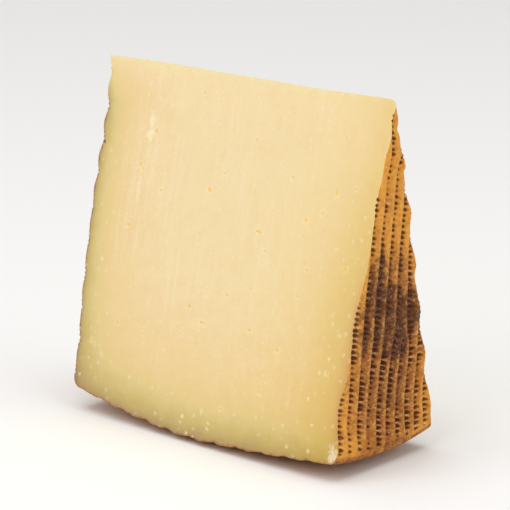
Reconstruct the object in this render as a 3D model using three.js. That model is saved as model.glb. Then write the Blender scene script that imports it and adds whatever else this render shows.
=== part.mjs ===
// A wedge of semi-cured manchego, standing on the curved side of its rind.
//
// The wedge is a slice of a low round wheel. The wheel's axis is the thin edge along the top, two knife
// cuts fall from it to the front and the back, and the rind closes the two ends and the underside.
// Frame: millimetres, +Z up, origin on the table under the middle of the wedge. +X runs along the wheel's
// axis to one ribbed flat face, and -Y faces the front cut.

import * as THREE from 'three';
import { toCreasedNormals } from 'three/addons/utils/BufferGeometryUtils.js';

// The wheel and the slice, in millimetres and degrees.
const WEDGE_ANGLE = 24.5;
const AXIS_HEIGHT = 98;
const TOP_LAND = 0.4;
const RIM_RADIUS_RIGHT = 94.95;
const RIM_RADIUS_LEFT = 93.7;
const SIDE_BULGE = 4.2;
const BULGE_POWER = 1.55;
const BULGE_SHIFT = 0.1;
const RIM_CORNER_RIGHT = 2.2;
const RIM_CORNER_LEFT = 3;

// The flat faces: how far out they stand at the axis, and how they draw in from there to the rim.
const RIGHT_REACH = 51.91;
const RIGHT_SLOPE_FRONT = 0.04;
const RIGHT_SLOPE_BACK = 0.033;
const LEFT_REACH = 50.89;
const LEFT_DRAW_IN = 2.8;
const LEFT_POWER = 2.5;
const LEFT_DIP = 0.85;
const LEFT_DIP_RADIUS = 17.5;
const LEFT_DIP_WIDTH = 12;
const LEFT_LOW_DIP = 0.5;
const LEFT_LOW_DIP_RADIUS = 80;
const LEFT_LOW_DIP_WIDTH = 9;
const TOP_CORNER = 1.6;
const TOP_WEAR = 0.8;
const TOP_WEAR_REACH = 14;
const TOP_EAR = 1;
const TOP_EAR_REACH = 2;
const LIP_HEIGHT = 1.5;
const LIP_RADIUS = 91.8;
const LIP_WIDTH = 4.6;

// The ribs that the press board leaves on both flat faces. A line gives the y of the first groove as powers
// of the share of the way down from the axis to the foot; the other grooves lie a pitch apart. On the right
// face they jog near the top, spread half way up and at the foot, and one more groove begins at a fork.
const RIB_PITCH = 3.8;
const RIB_HEIGHT_RIGHT = 0.8;
const RIB_HEIGHT_LEFT = 0.85;
const RIB_LINE_RIGHT = [-8.26, 32.96, -143.76, 201.37, -93.58];
const RIB_LINE_LEFT = [1.75, 19.05];
const RIB_JOG = 1.5;
const RIB_JOG_FROM = 77;
const RIB_JOG_TO = 85;
const RIB_SPREAD_TOP = -0.033;
const RIB_SPREAD_MIDDLE = 0.108;
const RIB_SPREAD_HEIGHT = 36.2;
const RIB_SPREAD_WIDTH = 17;
const RIB_SPREAD_FOOT = 0.125;
const RIB_SPREAD_FOOT_WIDTH = 13.2;
const RIB_SPREAD_FROM = -12.2;
const RIB_FORK_Y = 6.4;
const RIB_FORK_HEIGHT = 33.4;
const RIB_FORK_FADE = 1.8;
const RIB_FADE = 5;
const RIB_START = 6;
const LEFT_WORN_FROM = 32;
const LEFT_WORN_TO = 44;
const LEFT_WORN_SHARE = 0.35;

// The bands of the plaited belt round the side, and the flat spot that the wedge rests on.
const BAND_PITCH = 8.6;
const BAND_OFFSET = 2.4;
const BAND_DEPTH = 0.55;
const BAND_FADE_POWER = 8;
const FOOT_LENGTH = 34;
const FOOT_WIDTH = 24;
const FOOT_FADE = 0.45;

// How finely the rind is divided.
const FLAT_STEP = 2.6;
const FLAT_COLUMN = 0.75;
const CORNER_STEPS = 3;
const CORNER_COLUMNS = 36;
const SIDE_STEP = 1.6;
const SIDE_COLUMNS = 24;

const CREASE_ANGLE = 32;
const PASTE_COLOUR = '#efd59c';

const HALF_ANGLE = THREE.MathUtils.degToRad(WEDGE_ANGLE / 2);
const SIDE_LENGTH = RIGHT_REACH + LEFT_REACH - RIM_CORNER_RIGHT - RIM_CORNER_LEFT;

/** Where a point lies across the slice: turn runs from -1 at the front cut to 1 at the back cut. */
function across(radius, turn) {
  const angle = turn * HALF_ANGLE;
  const y = radius * Math.sin(angle) + turn * TOP_LAND / 2;
  const z = AXIS_HEIGHT - radius * Math.cos(angle);
  return { y, z };
}

/** The radius of the rounded edge between a flat face and the side. */
function rimCorner(side) {
  return side > 0 ? RIM_CORNER_RIGHT : RIM_CORNER_LEFT;
}

/** The radius at which a flat face ends and its rounded edge begins. */
function flatRadius(side) {
  return (side > 0 ? RIM_RADIUS_RIGHT : RIM_RADIUS_LEFT) - rimCorner(side);
}

/** The share of the rib height that is left: the left face is worn smoother further down. */
function ribShare(side, radius) {
  if (side > 0) {
    return 1;
  }
  const worn = THREE.MathUtils.smoothstep(radius, LEFT_WORN_FROM, LEFT_WORN_TO);
  return THREE.MathUtils.lerp(1, LEFT_WORN_SHARE, worn);
}

/** A smooth hump of height one round a middle. */
function hump(place, middle, width) {
  return Math.exp(-(((place - middle) / width) ** 2));
}

/** How far the right face's grooves are spread at a point, as a share of the distance from one y. */
function ribSpread(y, z) {
  const middle = RIB_SPREAD_MIDDLE * hump(z, RIB_SPREAD_HEIGHT, RIB_SPREAD_WIDTH);
  const foot = RIB_SPREAD_FOOT * hump(z, 0, RIB_SPREAD_FOOT_WIDTH);
  return (RIB_SPREAD_TOP + middle + foot) * (y - RIB_SPREAD_FROM);
}

/** The number of a point's groove, whole on the groove's own line and a half on the rib beside it. */
function grooveNumber(side, y, z) {
  const down = (AXIS_HEIGHT - z) / AXIS_HEIGHT;
  const parts = side > 0 ? RIB_LINE_RIGHT : RIB_LINE_LEFT;
  const line = parts.reduce((sum, part, power) => sum + part * down ** power, 0);
  if (side < 0) {
    return (y - line) / RIB_PITCH;
  }
  const jog = RIB_JOG * THREE.MathUtils.smoothstep(z, RIB_JOG_FROM, RIB_JOG_TO);
  const fork = Math.atan2(RIB_FORK_HEIGHT - z, RIB_FORK_Y - y) / (2 * Math.PI);
  return (y - line - jog - ribSpread(y, z)) / RIB_PITCH + fork;
}

/** The height of the ribs at a point of a flat face: none at the top, at the rim and at the fork. */
function ribs(side, radius, y, z) {
  const start = THREE.MathUtils.smoothstep(radius, 0, RIB_START);
  const last = flatRadius(side);
  const end = 1 - THREE.MathUtils.smoothstep(radius, last - RIB_FADE, last);
  const forkDistance = Math.hypot(y - RIB_FORK_Y, z - RIB_FORK_HEIGHT);
  const clear = side > 0 ? 1 - hump(forkDistance, 0, RIB_FORK_FADE) : 1;
  const height = (side > 0 ? RIB_HEIGHT_RIGHT : RIB_HEIGHT_LEFT) * ribShare(side, radius);
  return -height / 2 * Math.cos(2 * Math.PI * grooveNumber(side, y, z)) * start * end * clear;
}

/** How far out the right face stands: a slope, the ribs, a lip at the front rim and a worn top corner. */
function rightReach(radius, turn) {
  const { y, z } = across(radius, turn);
  const backShare = (turn + 1) / 2;
  const slope = THREE.MathUtils.lerp(RIGHT_SLOPE_FRONT, RIGHT_SLOPE_BACK, backShare);
  const lip = LIP_HEIGHT * (1 - backShare) * hump(radius, LIP_RADIUS, LIP_WIDTH);
  const wear = TOP_WEAR * backShare * hump(radius, 0, TOP_WEAR_REACH);
  const rounding = Math.max(0, 1 - radius / TOP_CORNER);
  const corner = TOP_CORNER * (1 - Math.sqrt(1 - rounding ** 2));
  return RIGHT_REACH - slope * radius + ribs(1, radius, y, z) + lip - wear - corner;
}

/** How far out the left face stands: a dome, the ribs, two dips and the small ear that the knife leaves. */
function leftReach(radius, turn) {
  const { y, z } = across(radius, turn);
  const dome = LEFT_DRAW_IN * (radius / RIM_RADIUS_LEFT) ** LEFT_POWER;
  const dip = LEFT_DIP * hump(radius, LEFT_DIP_RADIUS, LEFT_DIP_WIDTH);
  const lowDip = LEFT_LOW_DIP * hump(radius, LEFT_LOW_DIP_RADIUS, LEFT_LOW_DIP_WIDTH);
  const ear = TOP_EAR * Math.exp(-radius / TOP_EAR_REACH);
  return LEFT_REACH - dome + ribs(-1, radius, y, z) + ear - dip - lowDip;
}

/** How far out a flat face stands at a point. */
function flatReach(side, radius, turn) {
  return side > 0 ? rightReach(radius, turn) : leftReach(radius, turn);
}

/** A point of a flat face. */
function flatPoint(side, radius, turn) {
  const { y, z } = across(radius, turn);
  return new THREE.Vector3(side * flatReach(side, radius, turn), y, z);
}

/** A point of the rounded edge between a flat face and the side: arc runs from 0 to a quarter turn. */
function cornerPoint(side, arc, turn) {
  const corner = rimCorner(side);
  const last = flatRadius(side);
  const centre = flatReach(side, last, turn) - corner;
  const { y, z } = across(last + corner * Math.sin(arc), turn);
  return new THREE.Vector3(side * (centre + corner * Math.cos(arc)), y, z);
}

/** How much of the side's relief is left at a point: none on the worn spot that the wedge rests on. */
function footRelief(x, y) {
  const distance = Math.hypot(x / (FOOT_LENGTH / 2), y / (FOOT_WIDTH / 2));
  return THREE.MathUtils.smoothstep(distance, 1 - FOOT_FADE, 1 + FOOT_FADE);
}

/** A point of the curved side: along runs from -1 at the left rim to 1 at the right rim. */
function sidePoint(along, turn) {
  const share = (along + 1) / 2;
  const right = flatReach(1, flatRadius(1), turn) - rimCorner(1);
  const left = rimCorner(-1) - flatReach(-1, flatRadius(-1), turn);
  const x = THREE.MathUtils.lerp(left, right, share);
  const rim = THREE.MathUtils.lerp(RIM_RADIUS_LEFT, RIM_RADIUS_RIGHT, share);
  const shifted = along + BULGE_SHIFT * (1 - along ** 2);
  const plain = rim + SIDE_BULGE * (1 - Math.abs(shifted) ** BULGE_POWER);
  const crest = Math.abs(Math.cos(Math.PI * (x - BAND_OFFSET) / BAND_PITCH)) - 0.5;
  const band = BAND_DEPTH * crest * (1 - Math.abs(along) ** BAND_FADE_POWER);
  const { y, z } = across(plain + band * footRelief(x, across(plain, turn).y), turn);
  return new THREE.Vector3(x, y, Math.max(0, z));
}

/** One row of points from the front cut to the back cut. */
function makeRow(columns, pointAt) {
  const points = [];
  for (let i = 0; i <= columns; i += 1) {
    points.push(pointAt(2 * i / columns - 1));
  }
  return points;
}

/** The rows of one flat face, from the axis to where the rounded edge starts. */
function flatRows(side) {
  const steps = Math.round(flatRadius(side) / FLAT_STEP);
  const rows = [];
  for (let i = 0; i <= steps; i += 1) {
    const radius = flatRadius(side) * i / steps;
    const width = TOP_LAND + 2 * radius * Math.sin(HALF_ANGLE);
    const columns = Math.max(1, Math.round(width / FLAT_COLUMN));
    rows.push(makeRow(columns, (turn) => flatPoint(side, radius, turn)));
  }
  return rows;
}

/** The rows of the rounded edge of one flat face, outwards, without the two that its neighbours hold. */
function cornerRows(side) {
  const rows = [];
  for (let i = 1; i < CORNER_STEPS; i += 1) {
    const arc = Math.PI / 2 * i / CORNER_STEPS;
    rows.push(makeRow(CORNER_COLUMNS, (turn) => cornerPoint(side, arc, turn)));
  }
  return rows;
}

/** The rows of the curved side, from the right rim to the left rim. */
function sideRows() {
  const steps = Math.round(SIDE_LENGTH / SIDE_STEP);
  const rows = [];
  for (let i = 0; i <= steps; i += 1) {
    const along = 1 - 2 * i / steps;
    rows.push(makeRow(SIDE_COLUMNS, (turn) => sidePoint(along, turn)));
  }
  return rows;
}

/** Triangles between two rows that may differ in their number of columns. */
function stitch(first, firstColumns, second, secondColumns, triangles) {
  let a = 0;
  let b = 0;
  while (a < firstColumns || b < secondColumns) {
    const nextA = (a + 1) / firstColumns;
    const nextB = (b + 1) / secondColumns;
    if (b === secondColumns || (a < firstColumns && nextA <= nextB)) {
      triangles.push(first + a, second + b, first + a + 1);
      a += 1;
    } else {
      triangles.push(first + a, second + b, second + b + 1);
      b += 1;
    }
  }
}

/** Triangles of one flat knife cut, from the outline that the ends of the rows give. */
function knifeCut(points, outline, facing, triangles) {
  const contour = outline.map((index) => new THREE.Vector2(points[index].x, points[index].z));
  for (const [a, b, c] of THREE.ShapeUtils.triangulateShape(contour, [])) {
    const corner = [outline[a], outline[b], outline[c]].map((index) => points[index]);
    const normal = new THREE.Triangle(...corner).getNormal(new THREE.Vector3());
    const order = normal.y * facing > 0 ? [a, b, c] : [a, c, b];
    triangles.push(...order.map((index) => outline[index]));
  }
}

/** The whole closed skin: the rind row by row, the narrow top edge and the two knife cuts. */
function wedgeGeometry() {
  const rows = [
    ...flatRows(1),
    ...cornerRows(1),
    ...sideRows(),
    ...cornerRows(-1).reverse(),
    ...flatRows(-1).reverse(),
  ];
  const points = rows.flat();
  const starts = [];
  let count = 0;
  for (const row of rows) {
    starts.push(count);
    count += row.length;
  }
  const triangles = [];
  rows.forEach((row, i) => {
    const next = (i + 1) % rows.length;
    stitch(starts[i], row.length - 1, starts[next], rows[next].length - 1, triangles);
  });
  const frontOutline = starts;
  const backOutline = starts.map((start, i) => start + rows[i].length - 1);
  knifeCut(points, frontOutline, -1, triangles);
  knifeCut(points, backOutline, 1, triangles);

  const geometry = new THREE.BufferGeometry().setFromPoints(points);
  geometry.setIndex(triangles);
  return toCreasedNormals(geometry, THREE.MathUtils.degToRad(CREASE_ANGLE));
}

const paste = new THREE.MeshStandardMaterial({ color: PASTE_COLOUR, roughness: 0.6, metalness: 0 });
const wedge = new THREE.Mesh(wedgeGeometry(), paste);
wedge.name = 'cheese_wedge';

const cheese = new THREE.Group();
cheese.add(wedge);

export default cheese;
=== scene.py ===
"""The looks of a wedge of semi-cured manchego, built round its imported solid.

The wedge stands on the curved side of its rind, with the wheel's axis as the thin edge on top. One closed
skin replaces the plain solid: two ribbed and dented flat faces, a plaited side and two knife cuts.
Sizes are in millimetres until they go into a mesh. +X runs along the wheel's axis to the ribbed flat face
that the camera sees, -Y faces the front cut, and +Z is up.
"""

import logging
import math
from collections.abc import Callable
from dataclasses import dataclass, field, replace
from enum import Enum, IntEnum
from functools import partial
from typing import NamedTuple

import bpy
import numpy as np
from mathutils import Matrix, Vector


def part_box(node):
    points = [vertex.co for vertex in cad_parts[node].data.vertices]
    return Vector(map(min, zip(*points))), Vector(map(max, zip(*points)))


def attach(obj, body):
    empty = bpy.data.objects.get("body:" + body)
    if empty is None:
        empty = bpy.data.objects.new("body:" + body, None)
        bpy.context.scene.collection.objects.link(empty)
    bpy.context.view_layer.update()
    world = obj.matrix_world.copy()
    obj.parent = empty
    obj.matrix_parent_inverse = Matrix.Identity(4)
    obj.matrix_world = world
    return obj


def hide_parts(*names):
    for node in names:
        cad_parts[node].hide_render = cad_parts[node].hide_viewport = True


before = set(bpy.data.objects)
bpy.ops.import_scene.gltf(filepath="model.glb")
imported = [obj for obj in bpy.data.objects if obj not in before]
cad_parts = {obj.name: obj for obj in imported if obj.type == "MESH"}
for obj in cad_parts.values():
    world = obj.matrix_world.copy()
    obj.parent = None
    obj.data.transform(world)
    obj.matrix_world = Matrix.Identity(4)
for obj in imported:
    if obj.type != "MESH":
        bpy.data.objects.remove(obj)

log = logging.getLogger("manchego")

Array = np.ndarray
Node = bpy.types.Node
Socket = bpy.types.NodeSocket
Adder = Callable[..., Node]
Measured = dict[str, Array | float]
Pair = tuple[float, float]
Triple = tuple[float, float, float]
Stops = tuple[tuple[float, str], ...]
Layers = tuple[Pair, ...]

NODE = "cheese_wedge"
BODY = "root"
METRES_PER_MM = 0.001
LATTICE = 32
MEASURES = ("dent", "ridge", "rib", "aged", "stain", "eye", "to_side", "to_left", "to_right")
EIGHT_ROUND = ((0, 1), (1, 1), (1, 0), (1, -1), (0, -1), (-1, -1), (-1, 0), (-1, 1))


class Face(IntEnum):
    """The two flat faces of the wheel, by the way they face along X."""

    RIGHT = 1
    LEFT = -1


class Cut(IntEnum):
    """The two knife cuts, by the turn at which they lie."""

    FRONT = -1
    BACK = 1


class Zone(IntEnum):
    """What a triangle of the skin belongs to. Edges between two zones are sharp."""

    RIND = 0
    TOP = 1
    FRONT = 2
    BACK = 3


class Finish(Enum):
    """The names of the wedge's two finishes, in the order of its material slots."""

    RIND = "manchego_rind_pressed_and_oiled"
    PASTE = "manchego_paste_knife_cut"


def smoothstep(low: float, high: float, value: Array) -> Array:
    """Rises from 0 at low to 1 at high, with a level start and end: t t (3 - 2 t)."""
    part = np.clip((value - low) / (high - low), 0, 1)
    return part * part * (3 - 2 * part)


def hump(value: Array, middle: float, width: float) -> Array:
    """A smooth hump of height one: e to the minus square of the distance from the middle, in widths."""
    return np.exp(-(((value - middle) / width) ** 2))


def between(ends: Pair, share: Array) -> Array:
    """Goes straight from the first of two values at share 0 to the second at share 1."""
    return ends[0] + (ends[1] - ends[0]) * share


def lattice_noise(points: Array, size: float, seed: int) -> Array:
    """Smooth noise from -1 to 1: random values on a cubic lattice, blended between the eight corners.

    Args:
        points: The places, one row of x, y and z each, in millimetres.
        size: The distance between two lattice corners.
        seed: The seed of the random values.

    Returns:
        One value for each place.
    """
    values = np.random.default_rng(seed).uniform(-1, 1, (LATTICE, LATTICE, LATTICE))
    cell = np.floor(points / size)
    blend = smoothstep(0, 1, points / size - cell)
    corner = cell.astype(int)
    total = np.zeros(len(points))
    for offset in np.ndindex(2, 2, 2):
        weight = np.prod(np.where(np.array(offset) == 1, blend, 1 - blend), axis=1)
        pick = (corner + offset) % LATTICE
        total += weight * values[pick[:, 0], pick[:, 1], pick[:, 2]]
    return total


def roughen(values: Array, points: Array, layers: Layers, seed: int) -> Array:
    """Adds layers of lattice noise to values, each layer with the next seed.

    Args:
        values: One value for each place.
        points: The places, one row of x, y and z each, in millimetres.
        layers: For each layer its height and the size of its grains.
        seed: The first layer's seed.

    Returns:
        The values with the noise added.
    """
    for number, (height, size) in enumerate(layers):
        values = values + height * lattice_noise(points, size, seed + number)
    return values


def first_points(columns: Array) -> Array:
    """The number of each row's first point, where a row has one point more than it has columns."""
    return np.cumsum(columns + 1) - columns - 1


def zip_lines(first: Array, first_at: Array, second: Array, second_at: Array) -> Array:
    """Triangles between two lines of points, each step joined to the last point passed on the other line.

    Args:
        first: The indices of the first line's points.
        first_at: Where each of them lies, from 0 to 1.
        second: The indices of the second line's points.
        second_at: Where each of them lies, from 0 to 1.

    Returns:
        One row of three indices for each triangle.
    """
    passed_second = np.searchsorted(second_at[1:], first_at[1:], side="left")
    passed_first = np.searchsorted(first_at[1:], second_at[1:], side="right")
    along_first = np.stack([first[:-1], second[passed_second], first[1:]], axis=1)
    along_second = np.stack([first[passed_first], second[:-1], second[1:]], axis=1)
    return np.concatenate([along_first, along_second])


def share_of_length(points: Array) -> Array:
    """How far along a line each of its points lies, by the summed length of its steps.

    Args:
        points: The line's points, one row each.

    Returns:
        For each point a share from 0 to 1.
    """
    steps = np.linalg.norm(np.diff(points, axis=0), axis=1)
    length = np.concatenate([[0.0], np.cumsum(steps)])
    return length / length[-1]


@dataclass(frozen=True)
class Spots:
    """Points across the wheel: their radius, their turn from cut to cut, and the y and z that these give."""

    radius: Array
    turn: Array
    y: Array
    z: Array


@dataclass(frozen=True)
class Wheel:
    """The round cheese that the wedge is cut from, and the slice that the knife takes of it."""

    axis_height: float
    wedge_angle: float = 24.5
    top_land: float = 0.4
    rim_radius_right: float = 94.95
    rim_radius_left: float = 93.7
    rim_corner_right: float = 2.2
    rim_corner_left: float = 3.0
    side_bulge: float = 4.2
    bulge_power: float = 1.55
    bulge_shift: float = 0.1

    @property
    def half_angle(self) -> float:
        """Half the wedge's angle, in radians."""
        return math.radians(self.wedge_angle / 2)

    @property
    def side_width(self) -> float:
        """How wide the curved side is across the slice, where it bulges most."""
        return 2 * (self.rim_radius_right + self.side_bulge) * math.sin(self.half_angle)

    def rim_corner(self, face: Face) -> float:
        """The radius of the rounded rim of a flat face."""
        return self.rim_corner_right if face is Face.RIGHT else self.rim_corner_left

    def flat_radius(self, face: Face) -> float:
        """The radius at which a flat face ends and its rounded rim begins."""
        rim = self.rim_radius_right if face is Face.RIGHT else self.rim_radius_left
        return rim - self.rim_corner(face)

    def spots(self, radius: Array, turn: Array) -> Spots:
        """Places points: y = r sin(a) + turn land / 2 and z = height - r cos(a), with a = turn half angle.

        Args:
            radius: The distances from the wheel's axis.
            turn: The shares of the half angle, from -1 at the front cut to 1 at the back cut.

        Returns:
            The points.
        """
        angle = turn * self.half_angle
        y = radius * np.sin(angle) + turn * self.top_land / 2
        return Spots(radius, turn, y, self.axis_height - radius * np.cos(angle))

    def side_radius(self, along: Array) -> Array:
        """The plain side's radius: it blends from rim to rim and adds a bulge.

        The bulge is its height times 1 - |s|^p, with s = along + shift (1 - along^2).

        Args:
            along: Where each point lies, from -1 at the left rim to 1 at the right.

        Returns:
            The radius at each point.
        """
        rim = between((self.rim_radius_left, self.rim_radius_right), (along + 1) / 2)
        shifted = along + self.bulge_shift * (1 - along**2)
        return rim + self.side_bulge * (1 - np.abs(shifted) ** self.bulge_power)


@dataclass(frozen=True)
class Dents:
    """The sizes of the dents in a pressed row and of the ridges between them.

    A pair named for one size holds its value high up and low down on the face. A pair with y or z in its
    name, or with at, gives the start and end of a smooth step, or the middle and width of a hump. What ends
    in draw is how far the random draws change a value, and what ends in wave how far the slow noise does.
    The table of draws has a row for each row of dents, a place for each dent and six values.
    """

    table_shape: tuple[int, int, int] = (64, 128, 6)
    pitch: float = 1.46
    depth: float = 0.4
    bowl_at: Pair = (0.42, 0.85)
    high_up_z: Pair = (42.0, 60.0)
    row_start: float = 0.42
    low_shift: float = 0.26
    near_width: Pair = (0.6, 0.64)
    far_width: Pair = (0.72, 1.3)
    half_height: Pair = (0.48, 0.54)
    taper: float = 0.2
    squareness: float = 2.4
    scale: Pair = (1.12, 1.0)
    size: float = 0.84
    size_draw: float = 0.3
    size_wave: float = 0.2
    small_share: float = 0.05
    small_size: float = 0.5
    vigour: float = 0.86
    vigour_wave: float = 0.22
    vigour_draw: float = 0.34
    vigour_least: float = 0.56
    vigour_most: Pair = (0.92, 1.0)
    shift_draw: float = 0.36
    rise_draw: float = 0.24
    slant_draw: float = 0.24
    slant: float = -0.3
    slant_back: float = 0.24
    slant_back_y: Pair = (2.0, 14.0)
    slant_high: float = 0.4
    slant_high_y: Pair = (7.0, 12.0)
    slant_high_z: Pair = (48.0, 56.0)
    slant_dip: float = 0.35
    slant_dip_y: Pair = (5.0, 5.0)
    slant_dip_z: Pair = (44.0, 9.0)
    wave_length: float = 5.5
    wave_apart: float = 7.3
    wave_seed: int = 5
    seam_at: Pair = (-0.64, 0.2)
    seam_depth: float = 0.58
    seam_level: float = 0.5
    seam_wave: float = 0.7
    ridge_height: float = 0.12
    ridge_at: Pair = (0.42, 0.68)
    ridge_start_at: Pair = (-0.9, -0.5)
    ridge_end_at: Pair = (0.9, 2.3)
    ridge_level: Pair = (0.62, 0.82)
    ridge_wave: float = 0.5
    ridge_least: float = 0.2
    start_at: Pair = (0.4, 2.4)
    end_at: Pair = (-1.0, 0.6)

    def lean(self, spots: Spots) -> Array:
        """How far a dent slants for each millimetre to the back: less at the back cut, more in one dip.

        Args:
            spots: The points of the face.

        Returns:
            The slant at each, down to the back where it is below 0.
        """
        back = self.slant_back * smoothstep(*self.slant_back_y, spots.y)
        high = self.slant_high * smoothstep(*self.slant_high_y, spots.y)
        high = high * smoothstep(*self.slant_high_z, spots.z)
        dip = self.slant_dip * hump(spots.y, *self.slant_dip_y) * hump(spots.z, *self.slant_dip_z)
        return self.slant + back + high - dip


@dataclass(frozen=True)
class PressedRows:
    """Rows of dents that a press board leaves in a flat face, with a smooth rib between each two rows.

    The line gives the y of the first row as powers of the share of the way down from the axis to the
    foot. The other rows lie a pitch apart. A stretched cloth makes them jog near the top, spread half way
    up and at the foot, and starts one more row at a fork. A pair is the start and end of a smooth step, or
    the middle and width of a hump.
    """

    wheel: Wheel
    face: Face
    line: tuple[float, ...]
    rib_height: float
    worn_share: float
    seed: int
    pitch: float = 3.8
    stretched: bool = False
    jog: float = 1.5
    jog_z: Pair = (77.0, 85.0)
    spread_top: float = -0.033
    spread_middle: float = 0.108
    spread_middle_z: Pair = (36.2, 17.0)
    spread_foot: float = 0.125
    spread_foot_z: Pair = (0.0, 13.2)
    spread_from: float = -12.2
    fork_y: float = 6.4
    fork_z: float = 33.4
    fork_fade: float = 1.8
    worn_radius: Pair = (32.0, 44.0)
    rib_start: float = 6.0
    rib_fade: float = 5.0
    dents: Dents = Dents()

    def row(self, spots: Spots) -> Array:
        """The row number of a point: y, less the line, over the pitch.

        In a stretched cloth y is also less the jog and the spread, a share of the distance from one y, and
        the angle round the fork adds up to one whole row.

        Args:
            spots: The points of the face.

        Returns:
            The number at each, whole on a row's line.
        """
        down = (self.wheel.axis_height - spots.z) / self.wheel.axis_height
        beyond = spots.y - sum(part * down**power for power, part in enumerate(self.line))
        if not self.stretched:
            return beyond / self.pitch
        jog = self.jog * smoothstep(*self.jog_z, spots.z)
        spread = self.spread_top + self.spread_middle * hump(spots.z, *self.spread_middle_z)
        spread = spread + self.spread_foot * hump(spots.z, *self.spread_foot_z)
        fork = np.arctan2(self.fork_z - spots.z, self.fork_y - spots.y) / (2 * np.pi)
        return (beyond - jog - spread * (spots.y - self.spread_from)) / self.pitch + fork

    def fade(self, radius: Array) -> Array:
        """The share of rib height left: none at the axis and at the rim, and less where a face is worn.

        Args:
            radius: The distances from the wheel's axis.

        Returns:
            The share at each, the product of three smooth steps.
        """
        last = self.wheel.flat_radius(self.face)
        start = smoothstep(0, self.rib_start, radius)
        end = 1 - smoothstep(last - self.rib_fade, last, radius)
        return start * end * between((1, self.worn_share), smoothstep(*self.worn_radius, radius))

    def ribs(self, spots: Spots) -> Array:
        """The height of the ribs: minus half the height times the cosine of the row, faded.

        Args:
            spots: The points of the face.

        Returns:
            The height at each, level at the fork.
        """
        wave = np.cos(2 * np.pi * self.row(spots))
        if self.stretched:
            from_fork = np.hypot(spots.y - self.fork_y, spots.z - self.fork_z)
            wave = wave * (1 - hump(from_fork, 0, self.fork_fade))
        return -self.rib_height / 2 * wave * self.fade(spots.radius)

    def marks(self, spots: Spots) -> Measured:
        """How deep in a dent, and how far up on a ridge between two dents, each point lies.

        A dent is an oval round its own centre, steep on its near side and drawn out and narrowing on its far
        side. It slants down to the back, less so towards the back cut. Its centre, size, slant and vigour
        vary by a table of random draws, looked up by row and number, and its size and vigour also by a slow
        noise along the row. Low down a dark seam joins their near sides. The ridges between dents slant
        alike and run out on the rib behind.

        Args:
            spots: The points of the face.

        Returns:
            The dent, its vigour times 1 - q / 2, with q the distance from its centre in half sizes: up to 1
            at a centre, 0.5 on an edge, 0 far off. And the ridge: 1 on its crest, 0 off it.
        """
        dents = self.dents
        table = np.random.default_rng(self.seed).uniform(0, 1, dents.table_shape)
        row = self.row(spots)
        line = np.floor(row + dents.row_start)
        key = line.astype(int) % dents.table_shape[0]
        low_down = 1 - smoothstep(*dents.high_up_z, spots.z)
        over = (row - line) * self.pitch + dents.low_shift * low_down
        along = spots.z / dents.pitch + table[key, 0, -1]
        slant = dents.lean(spots)
        wave_at = np.stack([line * dents.wave_apart, spots.z, np.zeros(len(row))], axis=1)
        wave = lattice_noise(wave_at, dents.wave_length, self.seed + dents.wave_seed)
        near_width = between(dents.near_width, low_down)
        far_width = between(dents.far_width, low_down)
        deepest = np.zeros(len(row))
        nearest = np.full(len(row), dents.pitch)
        for step in (-2, -1, 0, 1, 2):
            index = np.floor(along) + step
            draw = table[key, index.astype(int) % dents.table_shape[1]].T
            large, odd = draw[:2]
            aside, above, tilt, firm = draw[2:] - 0.5
            size = dents.size + dents.size_draw * large + dents.size_wave * wave
            size = np.where(odd < dents.small_share, dents.small_size, size * between(dents.scale, low_down))
            vigour = dents.vigour + dents.vigour_wave * wave + dents.vigour_draw * firm
            vigour = np.clip(vigour, dents.vigour_least, between(dents.vigour_most, low_down))
            shift = over - dents.shift_draw * aside
            rise = (along - index - dents.rise_draw * above) * dents.pitch
            rise = rise - (slant + dents.slant_draw * tilt) * shift
            width = np.where(shift < 0, near_width, far_width) * size
            taper = 1 - dents.taper * np.clip(shift / far_width, 0, 1)
            height = between(dents.half_height, low_down) * size * taper
            square = np.abs(shift / width) ** dents.squareness + np.abs(rise / height) ** dents.squareness
            deepest = np.maximum(deepest, vigour * (1 - square ** (1 / dents.squareness) / 2))
            nearest = np.minimum(nearest, np.abs(rise))
        seam = np.clip(dents.seam_level + dents.seam_wave * wave, 0, 1) * low_down
        deepest = np.maximum(deepest, dents.seam_depth * seam * hump(over, *dents.seam_at))
        from_rim = spots.radius - self.wheel.flat_radius(self.face)
        inside = smoothstep(*dents.start_at, spots.radius) * (1 - smoothstep(*dents.end_at, from_rim))
        run_out = smoothstep(*dents.ridge_start_at, over) * (1 - smoothstep(*dents.ridge_end_at, over))
        share = np.clip(between(dents.ridge_level, low_down) + dents.ridge_wave * wave, dents.ridge_least, 1)
        ridge = smoothstep(*dents.ridge_at, nearest) * run_out * share
        return {"dent": deepest * inside, "ridge": ridge * inside}

    def relief(self, spots: Spots) -> Array:
        """How far the dents sink the face, less the height of the ridges between them.

        Args:
            spots: The points of the face.

        Returns:
            The sunk depth at each: a smooth bowl for each dent.
        """
        marks = self.marks(spots)
        bowl = smoothstep(*self.dents.bowl_at, marks["dent"])
        return self.dents.depth * bowl - self.dents.ridge_height * marks["ridge"]


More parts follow.
